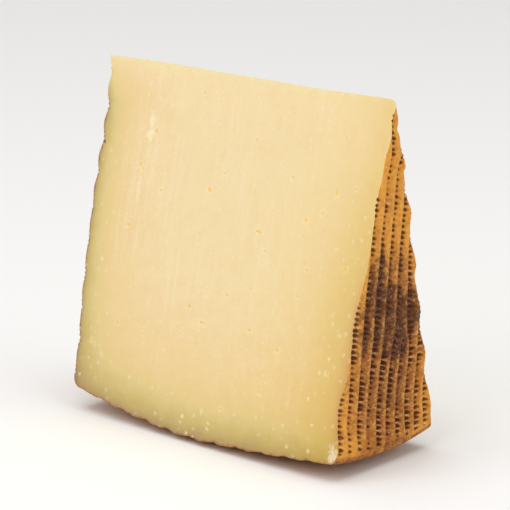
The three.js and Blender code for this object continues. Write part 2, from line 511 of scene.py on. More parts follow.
@dataclass(frozen=True)
class FlatFace:
    """One flat face of the wheel: how far out it stands at each radius and turn.

    The roughness is a height and a grain size for each layer, to the finest. A pair with at in its name is
    the middle and width of a hump, and one with turn, rise, break or edge the start and end of a step.
    """

    rows: PressedRows
    step: float
    roughness: Layers = ((0.1, 7.0), (0.06, 2.3), (0.04, 0.9))

    @property
    def face(self) -> Face:
        """Which of the two flat faces this is."""
        return self.rows.face

    @property
    def wheel(self) -> Wheel:
        """The wheel that the face belongs to."""
        return self.rows.wheel

    def plain_reach(self, spots: Spots) -> Array:
        """How far out the face stands without ribs and dents. Each kind of face gives its own formula."""
        raise NotImplementedError

    def chips(self, spots: Spots) -> Array:
        """What is chipped off or left standing along a cut. A plain face has none."""
        return np.zeros(len(spots.radius))

    def reach(self, spots: Spots) -> Array:
        """How far out the face stands: the plain face, the ribs, less the dents, plus a fine roughness.

        Args:
            spots: The points of the face.

        Returns:
            The distance from the middle of the wheel at each.
        """
        reach = self.plain_reach(spots) + self.rows.ribs(spots)
        reach = reach - self.rows.relief(spots) + self.chips(spots)
        points = np.stack([reach, spots.y, spots.z], axis=1)
        return roughen(reach, points, self.roughness, self.rows.seed)


@dataclass(frozen=True)
class Crag:
    """One place on the back edge that stands out or in: its radius, its width and its height."""

    radius: float
    width: float
    height: float


@dataclass(frozen=True)
class Blot:
    """One oval blot of the stain on the flat face: its middle, its half sizes and how dark it is."""

    y: float
    z: float
    half_width: float
    half_height: float
    strength: float


@dataclass(frozen=True)
class RightFace(FlatFace):
    """The flat face that the camera sees: a slope, a lip at the front rim and a worn top corner.

    The slope is given at the front cut and at the back cut. The aged oval has a middle and half sizes.
    """

    axis_reach: float = 51.91
    slope: Pair = (0.04, 0.033)
    top_corner: float = 1.6
    top_wear: float = 0.8
    top_wear_reach: float = 14.0
    notch_depth: float = 0.7
    notch_at: Pair = (8.0, 1.3)
    notch_turn: Pair = (-0.5, 0.8)
    lip_height: float = 1.5
    lip_at: Pair = (91.8, 4.6)
    scale_height: float = 0.4
    scale_turn: Pair = (0.74, 1.0)
    scale_level: float = 0.3
    scale_rise: Pair = (0.0, 0.46)
    scale_break: Pair = (0.47, 0.53)
    scale_hollow: float = 0.35
    scale_hollow_at: Pair = (0.75, 0.16)
    crags: tuple[Crag, ...] = (
        Crag(15.3, 1.9, 0.8),
        Crag(19.8, 1.3, -0.7),
        Crag(49.2, 2.6, -0.75),
        Crag(58.6, 3.3, 0.95),
    )
    aged_middle: Pair = (1.0, 28.0)
    aged_half: Pair = (16.0, 32.0)
    aged_edge: Pair = (0.3, 1.25)
    blots: tuple[Blot, ...] = (
        Blot(-2.5, 45.5, 7.5, 6.0, 1.0),
        Blot(4.0, 33.5, 4.5, 7.0, 1.15),
        Blot(7.5, 40.5, 7.0, 8.0, 0.95),
        Blot(-4.0, 52.0, 4.0, 7.5, 0.75),
        Blot(-8.5, 39.0, 4.0, 8.0, 0.72),
        Blot(1.5, 54.0, 5.0, 5.0, 0.45),
        Blot(-1.0, 38.0, 6.0, 8.0, 0.8),
        Blot(2.0, 22.0, 9.0, 8.0, 0.35),
        Blot(6.0, 5.0, 10.0, 5.0, 0.38),
    )
    blot_edge: Pair = (0.5, 1.35)
    blot_ragged: Layers = ((0.22, 3.6), (0.2, 1.4))
    blot_depth: float = 50.0
    blot_seed: int = 72

    def plain_reach(self, spots: Spots) -> Array:
        """The axis reach less a slope, less the wear at the top, plus the lip, each by its share of turn.

        Args:
            spots: The points of the face.

        Returns:
            The distance from the middle of the wheel at each, with a rounded corner at the axis.
        """
        back_share = (spots.turn + 1) / 2
        lip = self.lip_height * (1 - back_share) * hump(spots.radius, *self.lip_at)
        wear = self.top_wear * back_share * hump(spots.radius, 0, self.top_wear_reach)
        rounding = np.maximum(0, 1 - spots.radius / self.top_corner)
        corner = self.top_corner * (1 - np.sqrt(1 - rounding**2))
        return self.axis_reach - between(self.slope, back_share) * spots.radius + lip - wear - corner

    def chips(self, spots: Spots) -> Array:
        """Along the back cut each rib ends in a scale that breaks off sharply on its far side.

        The scale rises with the share of the way from one row to the next up to a half, then falls at
        once and stays low. A few crags stand out or in. One notch is chipped out of the corner just under
        the top.

        Args:
            spots: The points of the face.

        Returns:
            How much further out or in the face stands at each.
        """
        row = self.rows.row(spots)
        share = row - np.floor(row)
        scale = smoothstep(*self.scale_rise, share) - smoothstep(*self.scale_break, share) - self.scale_level
        scale = scale - self.scale_hollow * hump(share, *self.scale_hollow_at)
        crags = sum(crag.height * hump(spots.radius, crag.radius, crag.width) for crag in self.crags)
        near_cut = smoothstep(*self.scale_turn, spots.turn) * self.rows.fade(spots.radius)
        notch = smoothstep(*self.notch_turn, spots.turn) * hump(spots.radius, *self.notch_at)
        return (self.scale_height * scale + crags) * near_cut - self.notch_depth * notch

    def stain(self, spots: Spots) -> Array:
        """The dark damp patch: the darkest blot at each point, each fading out over an edge pulled by noise.

        Args:
            spots: The points of the face.

        Returns:
            How dark the patch is at each, 0 outside it.
        """
        points = np.stack([np.full(len(spots.y), self.blot_depth), spots.y, spots.z], axis=1)
        ragged = roughen(np.zeros(len(points)), points, self.blot_ragged, self.blot_seed)
        dark = np.zeros(len(points))
        for blot in self.blots:
            far = np.hypot((spots.y - blot.y) / blot.half_width, (spots.z - blot.z) / blot.half_height)
            dark = np.maximum(dark, blot.strength * (1 - smoothstep(*self.blot_edge, far + ragged)))
        return dark

    def aged(self, spots: Spots) -> Array:
        """How brown the rind has aged: 1 in the middle of its lower half, less outwards by an oval.

        Args:
            spots: The points of the face.

        Returns:
            The share at each.
        """
        aside = (spots.y - self.aged_middle[0]) / self.aged_half[0]
        above = (spots.z - self.aged_middle[1]) / self.aged_half[1]
        return 1 - smoothstep(*self.aged_edge, np.hypot(aside, above))


@dataclass(frozen=True)
class LeftFace(FlatFace):
    """The flat face away from the camera: a dome, two dips and the small ear left on top."""

    axis_reach: float = 50.89
    draw_in: float = 2.8
    draw_in_power: float = 2.5
    dip: float = 0.85
    dip_at: Pair = (17.5, 12.0)
    low_dip: float = 0.5
    low_dip_at: Pair = (80.0, 9.0)
    ear: float = 1.0
    ear_reach: float = 2.0

    def plain_reach(self, spots: Spots) -> Array:
        """The axis reach less a dome that grows with a power of the radius, less the dips, plus the ear.

        Args:
            spots: The points of the face.

        Returns:
            The distance from the middle of the wheel at each.
        """
        dome = self.draw_in * (spots.radius / self.wheel.rim_radius_left) ** self.draw_in_power
        dips = self.dip * hump(spots.radius, *self.dip_at)
        dips = dips + self.low_dip * hump(spots.radius, *self.low_dip_at)
        return self.axis_reach - dome - dips + self.ear * np.exp(-spots.radius / self.ear_reach)


@dataclass(frozen=True)
class PlaitedSide:
    """The curved side, marked by the plaited grass belt that holds the curd while it is pressed."""

    band_pitch: float = 8.6
    band_offset: float = 2.4
    band_depth: float = 0.55
    band_fade_power: float = 8.0
    groove_power: float = 0.5
    stroke_pitch: float = 3.3
    stroke_depth: float = 0.3
    stroke_slant: float = 0.85
    stroke_shift: float = 0.37
    stroke_power: float = 0.6
    roughness: Layers = ((0.1, 6.0), (0.05, 2.0))
    seed: int = 81
    foot_length: float = 34.0
    foot_width: float = 24.0
    foot_fade: float = 0.45
    step: float = 0.5
    column: float = 0.6
    dent_share: float = 0.62
    rib_share: float = 0.7
    aged: float = 0.6

    def band_wave(self, x: Array) -> Array:
        """The rounded bands, a pitch apart: 1 on a crest, 0 in the groove between two."""
        return np.abs(np.cos(np.pi * (x - self.band_offset) / self.band_pitch))

    def strokes(self, x: Array, around: Array) -> Array:
        """The plait's strokes, each band slanting against its neighbours.

        Args:
            x: Each point's place along the wheel's axis.
            around: Each point's distance round the side.

        Returns:
            1 in the groove between two strokes, and less beside it by a power of a sine.
        """
        band = np.round((x - self.band_offset) / self.band_pitch)
        inside = x - self.band_offset - band * self.band_pitch
        slant = np.where(band.astype(int) % 2 == 0, self.stroke_slant, -self.stroke_slant)
        place = (around + slant * inside) / self.stroke_pitch + self.stroke_shift * band
        return 1 - np.abs(np.sin(np.pi * place)) ** self.stroke_power

    def left_relief(self, x: Array, y: Array, along: Array) -> Array:
        """The share of relief left: none at the rims, nor on the worn spot that the wedge rests on.

        Args:
            x: Each point's place along the wheel's axis.
            y: Each point's place across the wedge.
            along: Where each point lies, from -1 at the left rim to 1 at the right.

        Returns:
            The share at each.
        """
        distance = np.hypot(x / (self.foot_length / 2), y / (self.foot_width / 2))
        off_foot = smoothstep(1 - self.foot_fade, 1 + self.foot_fade, distance)
        return (1 - np.abs(along) ** self.band_fade_power) * off_foot

    def height(self, x: Array, around: Array) -> Array:
        """The relief before it fades: the bands, less the strokes, plus a fine roughness.

        Args:
            x: Each point's place along the wheel's axis.
            around: Each point's distance round the side.

        Returns:
            The height at each.
        """
        height = self.band_depth * (self.band_wave(x) - 0.5) - self.stroke_depth * self.strokes(x, around)
        points = np.stack([x, around, np.zeros(len(x))], axis=1)
        return roughen(height, points, self.roughness, self.seed)


@dataclass
class Skin:
    """The closed skin while it is built: its points, what is measured at each, and its triangles."""

    points: list[Array] = field(default_factory=list)
    measures: dict[str, list[Array]] = field(default_factory=lambda: {name: [] for name in MEASURES})
    triangles: list[Array] = field(default_factory=list)
    zones: list[Array] = field(default_factory=list)
    count: int = 0

    def add_points(self, points: Array, measured: Measured) -> Array:
        """Adds points with what is measured at them.

        Args:
            points: The points, one row each.
            measured: Values by the measure's name. A measure that isn't given is 0.

        Returns:
            The points' indices.
        """
        self.points.append(points)
        for name in MEASURES:
            value = measured.get(name, 0.0)
            self.measures[name].append(np.broadcast_to(value, (len(points),)).astype(float))
        self.count += len(points)
        return np.arange(self.count - len(points), self.count)

    def add_triangles(self, triangles: Array, zone: Zone) -> None:
        """Adds triangles, all of one zone."""
        self.triangles.append(triangles)
        self.zones.append(np.full(len(triangles), int(zone)))

    def place(self) -> Array:
        """All points so far, one row each."""
        return np.concatenate(self.points)

    def add_facing(self, triangles: Array, outward: Array, zone: Zone) -> None:
        """Adds triangles of a nearly flat zone, all turned over if their summed normal faces inward.

        Args:
            triangles: The triangles, one row of three indices each.
            outward: The direction that the zone faces.
            zone: The zone.
        """
        a, b, c = self.place()[triangles.T]
        inward = np.cross(b - a, c - a).sum(axis=0) @ outward < 0
        self.add_triangles(triangles[:, ::-1] if inward else triangles, zone)


@dataclass
class RindRows:
    """The rind and the top edge as rows of points, each row running from the front cut to the back cut.

    On a rounded rim the age and the stain go from their first value at the flat face to their second.
    """

    wheel: Wheel
    right: RightFace
    left: LeftFace
    side: PlaitedSide
    skin: Skin = field(default_factory=Skin)
    corner_step: float = 0.42
    rim_rib: float = 0.5
    rim_aged: Pair = (0.5, 1.0)
    rim_stain: Pair = (0.2, 0.6)
    top_step: float = 1.6
    top_wave: float = 0.25
    top_rise_at: Pair = (-30.0, 16.0)
    top_sag_at: Pair = (25.0, 14.0)
    starts: list[int] = field(default_factory=list)
    columns: list[int] = field(default_factory=list)
    zones: list[Zone] = field(default_factory=list)
    right_corner: int = 0
    left_corner: int = 0
    left_apex: int = 0

    def spread(self, columns: Array) -> tuple[Array, Array]:
        """Spreads points evenly over rows.

        Args:
            columns: For each row, how many columns it has.

        Returns:
            Each point's row, and its turn from -1 to 1.
        """
        row = np.repeat(np.arange(len(columns)), columns + 1)
        return row, 2 * (np.arange(len(row)) - first_points(columns)[row]) / columns[row] - 1

    def keep(self, columns: Array, x: Array, spots: Spots, measured: Measured, zone: Zone) -> None:
        """Adds rows to the skin, none of them below the floor, and notes where each starts.

        Args:
            columns: For each row, how many columns it has.
            x: Each point's place along the wheel's axis.
            spots: Where each lies across the wheel.
            measured: What is measured at the points, other than their distances from the rinds.
            zone: The rows' zone.
        """
        points = np.stack([x, spots.y, np.maximum(0, spots.z)], axis=1)
        start = self.skin.add_points(points, self.edge_distances(x, spots) | measured)[0]
        self.starts.extend(start + first_points(columns))
        self.columns.extend(columns)
        self.zones.extend([zone] * len(columns))

    def edge_distances(self, x: Array, spots: Spots) -> Measured:
        """How far points are from the side rind and from the left and right rinds.

        Args:
            x: Each point's place along the wheel's axis.
            spots: Where each lies across the wheel.

        Returns:
            The three distances, by the names of their measures.
        """
        right = self.right.plain_reach(spots)
        left = self.left.plain_reach(spots)
        along = np.clip(2 * (x + left) / (right + left) - 1, -1, 1)
        return {
            "to_side": np.maximum(0, self.wheel.side_radius(along) - spots.radius),
            "to_left": np.maximum(0, x + left),
            "to_right": np.maximum(0, right - x),
        }

    def add_flat(self, flat: FlatFace, inwards: bool) -> None:
        """Adds a flat face: rows a step apart, each with as many columns as its width has steps.

        Args:
            flat: The face.
            inwards: True for rows from the rim to the axis.
        """
        steps = round(self.wheel.flat_radius(flat.face) / flat.step)
        radii = self.wheel.flat_radius(flat.face) * np.arange(steps + 1) / steps
        if inwards:
            radii = radii[::-1]
        widths = self.wheel.top_land + 2 * radii * math.sin(self.wheel.half_angle)
        columns = np.maximum(1, np.round(widths / flat.step)).astype(int)
        row, turn = self.spread(columns)
        spots = self.wheel.spots(radii[row], turn)
        x = int(flat.face) * flat.reach(spots)
        measured = flat.rows.marks(spots)
        measured["to_right" if flat.face is Face.RIGHT else "to_left"] = 0.0
        measured["rib"] = flat.rows.ribs(spots) / flat.rows.rib_height + 0.5
        measured["aged"] = self.right.aged(spots)
        if flat.face is Face.RIGHT:
            measured["stain"] = self.right.stain(spots)
        self.keep(columns, x, spots, measured, Zone.RIND)

    def add_corner(self, flat: FlatFace, far_columns: int, inwards: bool) -> int:
        """Adds the rounded rim of a flat face: a quarter circle from the face's edge to the side's.

        Args:
            flat: The face.
            far_columns: How many columns the side's rows have.
            inwards: True for rows from the side to the face.

        Returns:
            The number of its middle row.
        """
        corner = self.wheel.rim_corner(flat.face)
        last = self.wheel.flat_radius(flat.face)
        steps = round(corner * math.pi / 2 / self.corner_step)
        share = np.arange(1, steps) / steps
        near_columns = round(2 * last * math.sin(self.wheel.half_angle) / flat.step)
        columns = np.round(between((near_columns, far_columns), share)).astype(int)
        if inwards:
            share = share[::-1]
            columns = columns[::-1]
        row, turn = self.spread(columns)
        arc = share[row] * math.pi / 2
        edge = flat.reach(self.wheel.spots(np.full(len(row), last), turn))
        spots = self.wheel.spots(last + corner * np.sin(arc), turn)
        x = int(flat.face) * (edge - corner + corner * np.cos(arc))
        self.keep(columns, x, spots, {
            "to_side": 0.0,
            "rib": self.rim_rib,
            "aged": np.maximum(self.right.aged(spots), between(self.rim_aged, share[row])),
            "stain": between(self.rim_stain, share[row]),
        }, Zone.RIND)
        return len(self.starts) - (len(columns) + 1) // 2

    def add_side(self) -> None:
        """Adds the curved side: x blends from rim to rim, the radius bulges, and z stops at the foot."""
        corners = self.wheel.rim_corner_right + self.wheel.rim_corner_left
        steps = round((self.right.axis_reach + self.left.axis_reach - corners) / self.side.step)
        columns = np.full(steps + 1, round(self.wheel.side_width / self.side.column))
        row, turn = self.spread(columns)
        along = 1 - 2 * row / steps
        ends = []
        for flat in (self.left, self.right):
            rim = self.wheel.spots(np.full(len(row), self.wheel.flat_radius(flat.face)), turn)
            ends.append(flat.reach(rim) - self.wheel.rim_corner(flat.face))
        x = between((-ends[0], ends[1]), (along + 1) / 2)
        plain = self.wheel.side_radius(along)
        around = plain * turn * self.wheel.half_angle
        left = self.side.left_relief(x, self.wheel.spots(plain, turn).y, along)
        spots = self.wheel.spots(plain + self.side.height(x, around) * left, turn)
        groove = 1 - self.side.band_wave(x) ** self.side.groove_power
        marks = np.maximum(self.side.strokes(x, around), groove) * left
        self.keep(columns, x, spots, {
            "to_side": 0.0,
            "dent": self.side.dent_share * marks,
            "rib": 1 - self.side.rib_share * marks,
            "aged": self.side.aged,
        }, Zone.RIND)

    def add_top(self) -> None:
        """Adds the thin edge on top, where the two cuts meet: a strip with a slight wave, left to right."""
        front = self.wheel.spots(np.zeros(1), np.full(1, float(Cut.FRONT)))
        left = self.left.reach(front)[0]
        right = self.right.reach(front)[0]
        steps = round((left + right) / self.top_step)
        columns = np.ones(steps - 1, dtype=int)
        row, turn = self.spread(columns)
        x = between((-left, right), (row + 1) / steps)
        spots = self.wheel.spots(np.zeros(len(x)), turn)
        wave = self.top_wave * (hump(x, *self.top_rise_at) - hump(x, *self.top_sag_at))
        self.keep(columns, x, replace(spots, z=spots.z + wave), {}, Zone.TOP)

    def build(self) -> None:
        """Adds every row round the wedge and joins each row to the next, the last to the first."""
        side_columns = round(self.wheel.side_width / self.side.column)
        self.add_flat(self.right, inwards=False)
        self.right_corner = self.add_corner(self.right, side_columns, inwards=False)
        self.add_side()
        self.left_corner = self.add_corner(self.left, side_columns, inwards=True)
        self.add_flat(self.left, inwards=True)
        self.left_apex = len(self.starts) - 1
        self.add_top()
        for number, start in enumerate(self.starts):
            after = (number + 1) % len(self.starts)
            first = start + np.arange(self.columns[number] + 1)
            second = self.starts[after] + np.arange(self.columns[after] + 1)
            first_at = np.arange(len(first)) / self.columns[number]
            second_at = np.arange(len(second)) / self.columns[after]
            both_rind = self.zones[number] is Zone.RIND and self.zones[after] is Zone.RIND
            zone = Zone.RIND if both_rind else Zone.TOP
            self.skin.add_triangles(zip_lines(first, first_at, second, second_at), zone)

    def outline(self, cut: Cut) -> Array:
        """The indices of the points where the rows meet a cut."""
        starts = np.array(self.starts)
        return starts if cut is Cut.FRONT else starts + np.array(self.columns)


@dataclass(frozen=True)
class Eye:
    """One small hole in the paste, at a place on a knife cut, with its half sizes."""

    x: float
    radius: float
    half_width: float
    half_height: float

    def depth(self, share: float) -> float:
        """How deep it goes: a share of the sum of its half sizes."""
        return share * (self.half_width + self.half_height)


@dataclass
class KnifeCut:
    """One knife cut: a fine grid inside the rind's outline, with small eyes sunk into it.

    Each ring of an eye has its size and depth as shares of the eye's, and its mark, which is 0.5 on the rim.
    """

    cut: Cut
    rows: RindRows
    seed: int
    random_eyes: int
    random_half: Pair
    named_eyes: tuple[Eye, ...] = ()
    random_stretch: Pair = (0.7, 1.5)
    random_x: Pair = (-45.0, 45.0)
    random_radius: Pair = (4.0, 90.0)
    grid_step: float = 1.65
    inset_ends: float = 1.9
    inset_side: float = 1.7
    inset_top: float = 1.2
    ring_points: int = 16
    rings: tuple[Triple, ...] = (
        (1.3, 0.0, 0.2),
        (1.0, 0.12, 0.5),
        (0.8, 0.75, 0.75),
        (0.45, 1.0, 0.95),
    )
    uneven: Pair = (0.16, 0.12)
    depth_share: float = 0.24
    wave_height: float = 0.07
    wave_size: float = 6.5
    wave_stretch: float = 4.0
    wave_fade_steps: int = 4

    @property
    def outward(self) -> Array:
        """The direction that the cut faces."""
        half = self.rows.wheel.half_angle
        return np.array([0, int(self.cut) * math.cos(half), math.sin(half)])

    def add_faces(self, triangles: Array) -> None:
        """Adds triangles of the cut to the skin, facing outward."""
        self.rows.skin.add_facing(triangles, self.outward, Zone[self.cut.name])

    def spots(self, radius: Array) -> Spots:
        """Points of the cut at these distances from the axis."""
        return self.rows.wheel.spots(radius, np.full(radius.shape, float(self.cut)))

    def add_points(self, x: Array, radius: Array, lift: Array, eye: Array | float) -> Array:
        """Adds points of the cut to the skin.

        Args:
            x: Each point's place along the wheel's axis.
            radius: Its distance from the axis.
            lift: How far it is lifted off the cut's plane, along the way it faces.
            eye: Its mark as part of an eye.

        Returns:
            The points' indices.
        """
        spots = self.spots(radius)
        points = np.stack([x, spots.y, spots.z], axis=1) + lift[:, None] * self.outward
        return self.rows.skin.add_points(points, self.rows.edge_distances(x, spots) | {"eye": eye})

    def grid(self) -> tuple[Array, Array]:
        """Lays out the grid: x blends from end to end, and the radius from the top to the side.

        Returns:
            The x and the radius of its points, as two tables with a row for each step down.
        """
        rows = self.rows
        across = round((rows.right.axis_reach + rows.left.axis_reach) / self.grid_step)
        down = round(rows.wheel.rim_radius_right / self.grid_step)
        share_x, share_r = np.meshgrid(np.linspace(0, 1, across + 1), np.linspace(0, 1, down + 1))
        lowest = rows.wheel.side_radius(2 * share_x - 1) - self.inset_side
        radius = between((self.inset_top, lowest), share_r)
        right = rows.right.plain_reach(self.spots(radius)) - self.inset_ends
        left = rows.left.plain_reach(self.spots(radius)) - self.inset_ends
        return between((-left, right), share_x), radius

    def eyes(self) -> list[Eye]:
        """Lists the eyes of this cut.

        Returns:
            The named ones, and then small random ones.
        """
        draw = np.random.default_rng(self.seed)
        found = list(self.named_eyes)
        for _ in range(self.random_eyes):
            half = draw.uniform(*self.random_half)
            tall = half * draw.uniform(*self.random_stretch)
            found.append(Eye(draw.uniform(*self.random_x), draw.uniform(*self.random_radius), half, tall))
        return found

    def make_room(self, x: Array, radius: Array) -> tuple[list[tuple[Eye, int, int]], Array]:
        """Finds each eye a point of the grid, and moves that and the points round it to the eye.

        Args:
            x: The x of the grid's points, which is changed.
            radius: The radius of the grid's points, which is changed.

        Returns:
            The eyes that have room, each with the row and column of its point, and which of the grid's
            squares they take.
        """
        down, across = x.shape
        taken = np.zeros((down - 1, across - 1), dtype=bool)
        sunk = []
        for eye in self.eyes():
            i, j = divmod(int(np.argmin((x - eye.x) ** 2 + (radius - eye.radius) ** 2)), across)
            inside = 1 < i < down - 2 and 1 < j < across - 2
            if not inside or taken[i - 2:i + 2, j - 2:j + 2].any():
                continue
            taken[i - 1:i + 1, j - 1:j + 1] = True
            around = (slice(i - 1, i + 2), slice(j - 1, j + 2))
            x[around] += eye.x - x[i, j]
            radius[around] += eye.radius - radius[i, j]
            sunk.append((eye, i, j))
        return sunk, taken

    def sink_eye(self, eye: Eye, ring: Array, middle: int, draw: np.random.Generator) -> None:
        """Sinks one eye: rings of points, each an uneven oval, from the grid's ring down to its middle.

        An oval's half sizes are those of the eye times 1 + a cos(2 t + p) + b cos(3 t + q).

        Args:
            eye: The eye.
            ring: The indices of the grid's points round it.
            middle: The index of the point at its bottom.
            draw: The source of the phases p and q.
        """
        angle = 2 * np.pi * np.arange(self.ring_points) / self.ring_points
        phase = draw.uniform(0, 2 * np.pi, 2)
        two, three = self.uneven
        uneven = 1 + two * np.cos(2 * angle + phase[0]) + three * np.cos(3 * angle + phase[1])
        depth = eye.depth(self.depth_share)
        outer = np.append(ring, ring[0])
        outer_at = np.linspace(0, 1, len(outer))
        inner_at = np.linspace(0, 1, self.ring_points + 1)
        for scale, sunk, mark in self.rings:
            x = eye.x + scale * eye.half_width * uneven * np.cos(angle)
            radius = eye.radius + scale * eye.half_height * uneven * np.sin(angle)
            inner = self.add_points(x, radius, np.full(len(x), -sunk * depth), mark)
            inner = np.append(inner, inner[0])
            self.add_faces(zip_lines(outer, outer_at, inner, inner_at))
            outer, outer_at = inner, inner_at
        fan = np.stack([outer[:-1], outer[1:], np.full(self.ring_points, middle)], axis=1)
        self.add_faces(fan)

    def build(self) -> None:
        """Adds the grid, sinks the eyes and joins the grid's edge to the rind's outline."""
        x, radius = self.grid()
        sunk, taken = self.make_room(x, radius)
        down, across = x.shape
        from_ends = np.minimum.outer(
            np.minimum(np.arange(down), np.arange(down)[::-1]),
            np.minimum(np.arange(across), np.arange(across)[::-1]),
        )
        flat = np.stack([x, radius / self.wave_stretch, np.full(x.shape, float(self.seed))], axis=2)
        wave = lattice_noise(flat.reshape(-1, 3), self.wave_size, self.seed)
        lift = self.wave_height * wave * smoothstep(0, self.wave_fade_steps, from_ends).ravel()
        marks = np.zeros(x.size)
        for eye, i, j in sunk:
            lift[i * across + j] = -eye.depth(self.depth_share)
            marks[i * across + j] = 1
        index = self.add_points(x.ravel(), radius.ravel(), lift, marks).reshape(down, across)
        a, b = index[:-1, :-1][~taken], index[:-1, 1:][~taken]
        c, d = index[1:, 1:][~taken], index[1:, :-1][~taken]
        quads = np.concatenate([np.stack([a, d, c], axis=1), np.stack([a, c, b], axis=1)])
        self.add_faces(quads)
        draw = np.random.default_rng(self.seed + 1)
        for eye, i, j in sunk:
            ring = np.array([index[i + down_by, j + across_by] for down_by, across_by in EIGHT_ROUND])
            self.sink_eye(eye, ring, int(index[i, j]), draw)
        self.join_outline(index)

    def join_outline(self, index: Array) -> None:
        """Joins the grid's edge to the outline, in four stretches: right end, side, left end and top.

        Args:
            index: The indices of the grid's points, as a table.
        """
        rows = self.rows
        outline = rows.outline(self.cut)
        place = rows.skin.place()
        stretches = (
            (outline[:rows.right_corner + 1], index[:, -1]),
            (outline[rows.right_corner:rows.left_corner + 1], index[-1, ::-1]),
            (outline[rows.left_corner:rows.left_apex + 1], index[::-1, 0]),
            (np.append(outline[rows.left_apex:], outline[0]), index[0, :]),
        )
        for outer, inner in stretches:
            lines = zip_lines(outer, share_of_length(place[outer]), inner, share_of_length(place[inner]))
            self.add_faces(lines)


def add_object(name: str, data: bpy.types.ID) -> bpy.types.Object:
    """Adds an object to the scene.

    Args:
        name: Its name.
        data: Its mesh, light or camera.

    Returns:
        The object, at the origin.
    """
    thing = bpy.data.objects.new(name, data)
    bpy.context.scene.collection.objects.link(thing)
    return thing


def linear(code: str) -> tuple[float, ...]:
    """Turns an sRGB hex colour, such as "#efd59c", to linear light.

    A part of up to 0.04045 is divided by 12.92, and a larger one has 0.055 added, is divided by 1.055 and
    goes to the power 2.4.

    Args:
        code: The colour.

    Returns:
        Its red, green, blue and alpha.
    """
    parts = [int(code[place:place + 2], 16) / 255 for place in (1, 3, 5)]
    straight = [part / 12.92 if part <= 0.04045 else ((part + 0.055) / 1.055) ** 2.4 for part in parts]
    return (*straight, 1.0)


def add_node(
    tree: bpy.types.NodeTree, kind: str, inputs: dict | tuple = (), stops: Stops = (), **settings: object,
) -> Node:
    """Adds one node with its settings and links.

    Args:
        tree: The node tree.
        kind: Blender's name for the node's type, less the ShaderNode that it starts with.
        inputs: The node's inputs in order, or by name or number: each a value, or the socket or the node
            that it reads, which for a node is its first output.
        stops: For a colour ramp, its positions and sRGB hex colours, in order.
        **settings: The node's own settings.

    Returns:
        The new node.
    """
    node = tree.nodes.new("ShaderNode" + kind)
    for name, value in settings.items():
        setattr(node, name, value)
    for key, value in inputs.items() if isinstance(inputs, dict) else enumerate(inputs):
        if isinstance(value, (Node, Socket)):
            tree.links.new(value.outputs[0] if isinstance(value, Node) else value, node.inputs[key])
        else:
            node.inputs[key].default_value = value
    for number, (position, code) in enumerate(stops):
        elements = node.color_ramp.elements
        element = elements[number] if number < len(elements) else elements.new(position)
        element.position = position
        element.color = linear(code)
    return node


def new_material(name: str) -> tuple[bpy.types.Material, Adder]:
    """Makes an empty node material.

    Args:
        name: Its name.

    Returns:
        The material, and add_node for its tree.
    """
    material = bpy.data.materials.new(name)
    material.use_nodes = True
    material.node_tree.nodes.clear()
    return material, partial(add_node, material.node_tree)


@dataclass(frozen=True)
class Grain:
    """A pattern of noise: the size of its largest grains, its finer layers, their strength and its twist."""

    size_mm: float
    detail: float
    roughness: float = 0.5
    distortion: float = 0.0

    def at(self, place: Socket | Node) -> dict:
        """The inputs of a noise node that reads a place in metres."""
        inputs = {"Scale": 1 / (self.size_mm * METRES_PER_MM), "Detail": self.detail}
        return inputs | {"Vector": place, "Roughness": self.roughness, "Distortion": self.distortion}


class Span(NamedTuple):
    """How a share follows a value: straight from first, where it is start, to last, where it is end."""

    start: float
    end: float
    first: float = 0.0
    last: float = 1.0


class Tear(NamedTuple):
    """One pale torn place on a cut: its middle and half sizes, how pale and what colour."""

    middle_mm: Triple
    half_mm: Triple
    strength: float
    colour: str


@dataclass(frozen=True)
class CheeseFinish:
    """What both finishes have: how they shine, how far light spreads in them and how rough they feel."""

    finish: Finish
    roughness: float
    ior: float
    specular: float
    subsurface: float
    subsurface_radius_mm: Triple
    bump_strength: float
    bump_mm: float

    def paint(self, add: Adder, place: Socket) -> tuple[Socket | Node, list[tuple[Node, str]], Node]:
        """Lays out the colours. Each finish has its own.

        Args:
            add: Adds a node to the material.
            place: The socket of each point's place, in metres.

        Returns:
            The ground colour, the layers over it in order, each the node of its share and its hex colour,
            and the node of the height of the fine relief.
        """
        raise NotImplementedError

    def build(self) -> bpy.types.Material:
        """Makes the material.

        Returns:
            The material.
        """
        material, add = new_material(self.finish.value)
        colour, layers, relief = self.paint(add, add("TexCoord").outputs["Object"])
        for share, code in layers:
            colour = add("Mix", {0: share, 6: colour, 7: linear(code)}, data_type="RGBA").outputs[2]
        distance = self.bump_mm * METRES_PER_MM
        bump = add("Bump", {"Height": relief, "Strength": self.bump_strength, "Distance": distance})
        shader = add("BsdfPrincipled", {
            "Base Color": colour, "Normal": bump, "Roughness": self.roughness, "IOR": self.ior,
            "Specular IOR Level": self.specular, "Subsurface Weight": self.subsurface,
            "Subsurface Scale": METRES_PER_MM, "Subsurface Radius": self.subsurface_radius_mm,
        })
        add("OutputMaterial", (shader,))
        return material


